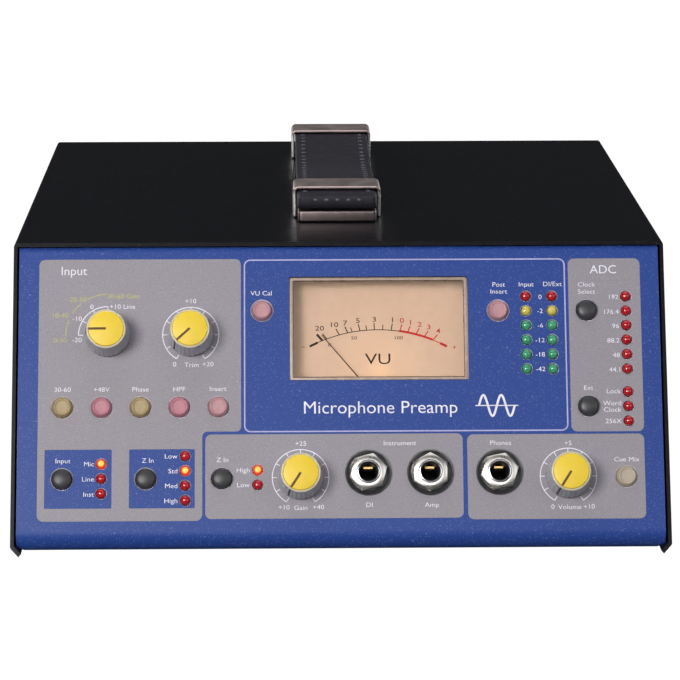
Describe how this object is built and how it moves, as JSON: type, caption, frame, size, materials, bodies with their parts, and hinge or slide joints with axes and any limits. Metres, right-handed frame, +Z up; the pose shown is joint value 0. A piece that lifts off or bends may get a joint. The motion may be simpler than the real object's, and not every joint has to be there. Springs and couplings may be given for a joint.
{
  "type": "microphone preamp",
  "caption": "Desktop microphone preamp with a sloping front panel, rotary gain controls, lit buttons, lamp columns, a needle level meter, jack sockets and a strap handle on a folded steel case.",
  "frame": {"origin": "centre of the footprint, on the surface that the feet stand on", "axes": "+X to the right seen from the front, front panel faces -Y, +Y towards the rear, +Z up"},
  "size_m": [0.22, 0.2568, 0.1142],
  "materials": {
    "cover_paint": "satin",
    "panel_paint": "satin",
    "tray_paint": "satin",
    "rubber": "matt",
    "chrome": "polished",
    "nickel": "polished",
    "steel": "brushed",
    "strap": "satin, stitched",
    "knob_grey": "satin",
    "cap_yellow": "satin",
    "button_pink": "satin, translucent",
    "button_olive": "satin, translucent",
    "button_cream": "satin, translucent",
    "black_plastic": "satin",
    "xlr_black": "satin",
    "lamp_red": "clear, tinted",
    "glass": "polished",
    "dial_paper": "matt, printed",
    "needle": "matt",
    "board": "solder mask"
  },
  "bodies": {
    "chassis": {"top_cover": "cover_paint", "front_panel": "panel_paint", "chassis_tray": "tray_paint", "foot_front_left": "rubber", "foot_front_right": "rubber", "foot_rear_left": "rubber", "foot_rear_right": "rubber", "handle_cap_front": "chrome", "handle_cap_rear": "chrome", "mic_gain_switch": "steel", "trim_pot": "steel", "di_gain_pot": "steel", "volume_pot": "steel", "source_lamps": "lamp_red", "mic_impedance_lamps": "lamp_red", "di_impedance_lamps": "lamp_red", "meter_lamps": "lamp_red", "converter_lamps": "lamp_red", "di_jack": "black_plastic", "di_jack_nut": "nickel", "amp_jack": "black_plastic", "amp_jack_nut": "nickel", "phones_jack": "black_plastic", "phones_jack_nut": "nickel", "vu_case": "black_plastic", "vu_glass": "glass", "vu_dial": "dial_paper", "rear_jack_block": "black_plastic", "main_out_xlr": "xlr_black", "di_out_xlr": "xlr_black", "mic_in_xlr": "xlr_black", "mains_inlet": "black_plastic", "front_board": "board", "main_board": "board", "mains_transformer": "steel", "mic_transformer": "steel"},
    "mic_gain_control": {"mic_gain_knob": "knob_grey", "mic_gain_cap": "cap_yellow"},
    "trim_control": {"trim_knob": "knob_grey", "trim_cap": "cap_yellow"},
    "di_gain_control": {"di_gain_knob": "knob_grey", "di_gain_cap": "cap_yellow"},
    "volume_control": {"volume_knob": "knob_grey", "volume_cap": "cap_yellow"},
    "gain_range_key": {"gain_range_button": "button_olive"},
    "phantom_key": {"phantom_button": "button_pink"},
    "phase_key": {"phase_button": "button_olive"},
    "filter_key": {"filter_button": "button_pink"},
    "insert_key": {"insert_button": "button_pink"},
    "vu_cal_key": {"vu_cal_button": "button_pink"},
    "post_insert_key": {"post_insert_button": "button_pink"},
    "cue_mix_key": {"cue_mix_button": "button_cream"},
    "input_select_key": {"input_select_button": "black_plastic"},
    "mic_impedance_key": {"mic_impedance_button": "black_plastic"},
    "di_impedance_key": {"di_impedance_button": "black_plastic"},
    "clock_select_key": {"clock_select_button": "black_plastic"},
    "clock_external_key": {"clock_external_button": "black_plastic"},
    "needle": {"vu_needle": "needle"},
    "rocker": {"power_rocker": "black_plastic"},
    "strap": {"handle_strap": "strap"}
  },
  "joints": [
    {"name": "mic_gain_turn", "type": "hinge", "parent": "chassis", "child": "mic_gain_control", "pos_m": [-0.0781, -0.09544, 0.07379], "axis": [0, 0.9081, -0.4187], "range_deg": [0, 90]},
    {"name": "trim_turn", "type": "hinge", "parent": "chassis", "child": "trim_control", "pos_m": [-0.0502, -0.09544, 0.07379], "axis": [0, 0.9081, -0.4187], "range_deg": [-18, 282]},
    {"name": "di_gain_turn", "type": "hinge", "parent": "chassis", "child": "di_gain_control", "pos_m": [-0.0135, -0.11587, 0.02948], "axis": [0, 0.9081, -0.4187], "range_deg": [0, 300]},
    {"name": "volume_turn", "type": "hinge", "parent": "chassis", "child": "volume_control", "pos_m": [0.076, -0.11587, 0.02948], "axis": [0, 0.9081, -0.4187], "range_deg": [0, 300]},
    {"name": "gain_range_press", "type": "slide", "parent": "chassis", "child": "gain_range_key", "axis": [0, 0.9081, -0.4187], "range_m": [0, 0.0015], "stiffness_N_per_m": 250, "springref_m": -0.0006},
    {"name": "phantom_press", "type": "slide", "parent": "chassis", "child": "phantom_key", "axis": [0, 0.9081, -0.4187], "range_m": [0, 0.0015], "stiffness_N_per_m": 250, "springref_m": -0.0006},
    {"name": "phase_press", "type": "slide", "parent": "chassis", "child": "phase_key", "axis": [0, 0.9081, -0.4187], "range_m": [0, 0.0015], "stiffness_N_per_m": 250, "springref_m": -0.0006},
    {"name": "filter_press", "type": "slide", "parent": "chassis", "child": "filter_key", "axis": [0, 0.9081, -0.4187], "range_m": [0, 0.0015], "stiffness_N_per_m": 250, "springref_m": -0.0006},
    {"name": "insert_press", "type": "slide", "parent": "chassis", "child": "insert_key", "axis": [0, 0.9081, -0.4187], "range_m": [0, 0.0015], "stiffness_N_per_m": 250, "springref_m": -0.0006},
    {"name": "vu_cal_press", "type": "slide", "parent": "chassis", "child": "vu_cal_key", "axis": [0, 0.9081, -0.4187], "range_m": [0, 0.0015], "stiffness_N_per_m": 250, "springref_m": -0.0006},
    {"name": "post_insert_press", "type": "slide", "parent": "chassis", "child": "post_insert_key", "axis": [0, 0.9081, -0.4187], "range_m": [0, 0.0015], "stiffness_N_per_m": 250, "springref_m": -0.0006},
    {"name": "cue_mix_press", "type": "slide", "parent": "chassis", "child": "cue_mix_key", "axis": [0, 0.9081, -0.4187], "range_m": [0, 0.0015], "stiffness_N_per_m": 250, "springref_m": -0.0006},
    {"name": "input_select_press", "type": "slide", "parent": "chassis", "child": "input_select_key", "axis": [0, 0.9081, -0.4187], "range_m": [0, 0.0015], "stiffness_N_per_m": 250, "springref_m": -0.0006},
    {"name": "mic_impedance_press", "type": "slide", "parent": "chassis", "child": "mic_impedance_key", "axis": [0, 0.9081, -0.4187], "range_m": [0, 0.0015], "stiffness_N_per_m": 250, "springref_m": -0.0006},
    {"name": "di_impedance_press", "type": "slide", "parent": "chassis", "child": "di_impedance_key", "axis": [0, 0.9081, -0.4187], "range_m": [0, 0.0015], "stiffness_N_per_m": 250, "springref_m": -0.0006},
    {"name": "clock_select_press", "type": "slide", "parent": "chassis", "child": "clock_select_key", "axis": [0, 0.9081, -0.4187], "range_m": [0, 0.0015], "stiffness_N_per_m": 250, "springref_m": -0.0006},
    {"name": "clock_external_press", "type": "slide", "parent": "chassis", "child": "clock_external_key", "axis": [0, 0.9081, -0.4187], "range_m": [0, 0.0015], "stiffness_N_per_m": 250, "springref_m": -0.0006},
    {"name": "vu_needle_swing", "type": "hinge", "parent": "chassis", "child": "needle", "pos_m": [0.0138, -0.1049, 0.05327], "axis": [0, 0.9081, -0.4187], "range_deg": [0, 80], "stiffness_Nm_per_rad": 0.0001, "springref_deg": -2.86},
    {"name": "power_rocker_tilt", "type": "hinge", "parent": "chassis", "child": "rocker", "pos_m": [0.084, 0.12158, 0.06125], "axis": [1, 0, 0], "range_deg": [0, 18]},
    {"name": "handle_strap_play", "type": "slide", "parent": "chassis", "child": "strap", "axis": [0, 1, 0], "range_m": [-0.003, 0.003]}
  ]
}
